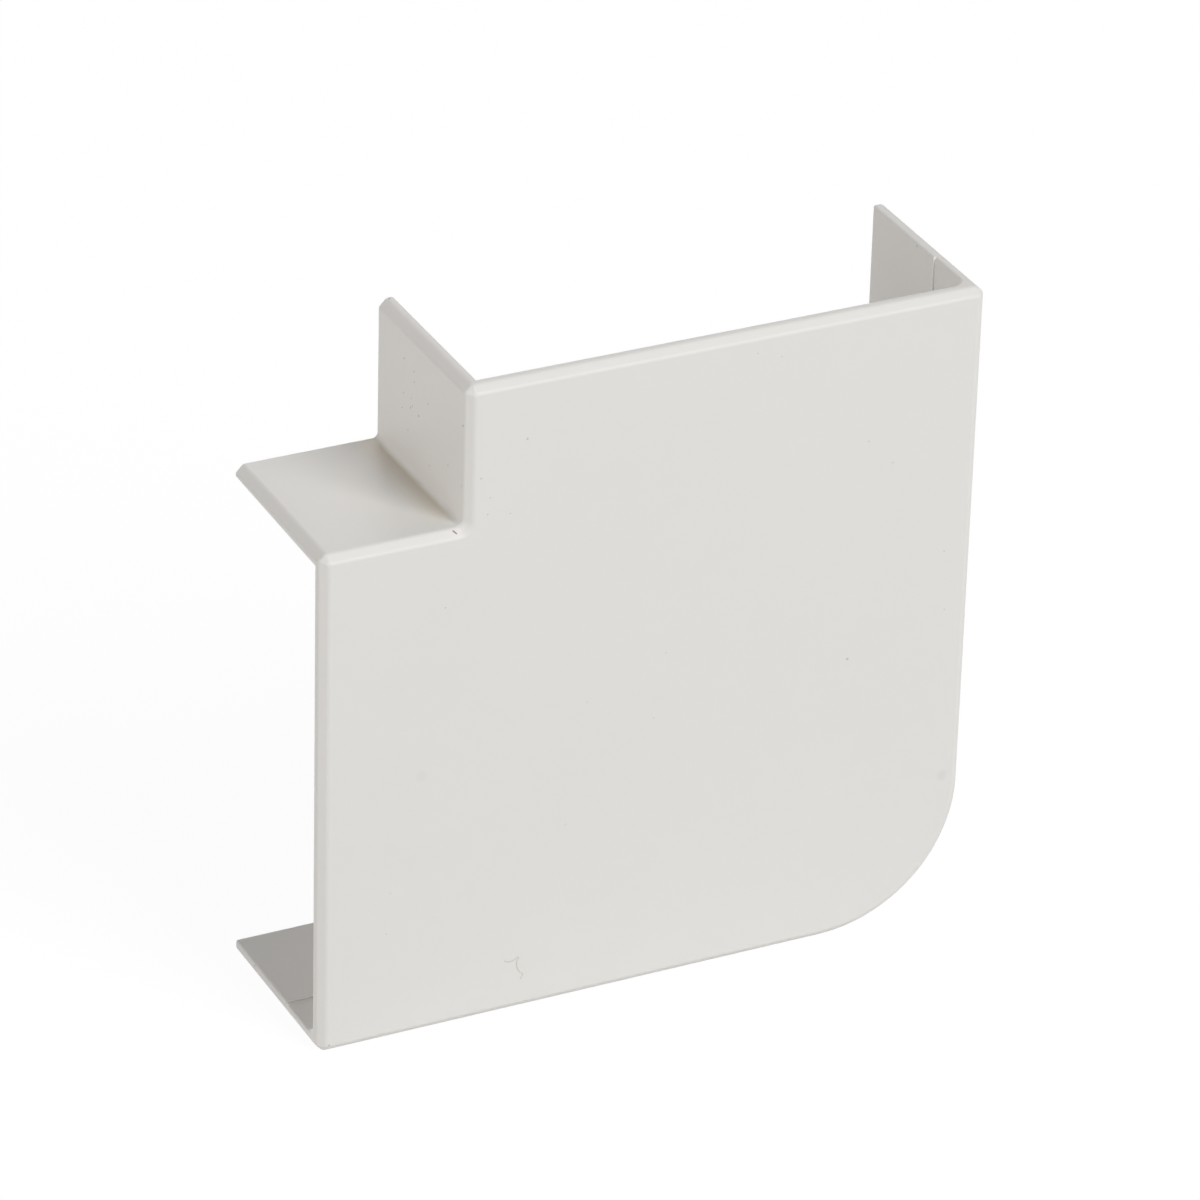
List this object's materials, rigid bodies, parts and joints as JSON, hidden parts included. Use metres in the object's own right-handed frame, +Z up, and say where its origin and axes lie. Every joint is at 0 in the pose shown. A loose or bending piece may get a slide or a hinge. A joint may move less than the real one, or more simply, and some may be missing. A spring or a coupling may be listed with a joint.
{
  "type": "trunking corner",
  "caption": "One-piece moulded plastic cover for a flat right-angle turn in surface trunking, open at both ends and at the back.",
  "frame": {"origin": "under the middle of the moulding's box, on the level of the bottom wall that it stands on", "axes": "+X from the open end of the horizontal arm towards the rounded corner, +Y from the face to the open back that meets the wall, +Z up the vertical arm"},
  "size_m": [0.056, 0.0164, 0.056],
  "materials": {
    "white_plastic": "satin"
  },
  "bodies": {
    "root": {"trunking_corner": "white_plastic"}
  },
  "joints": []
}
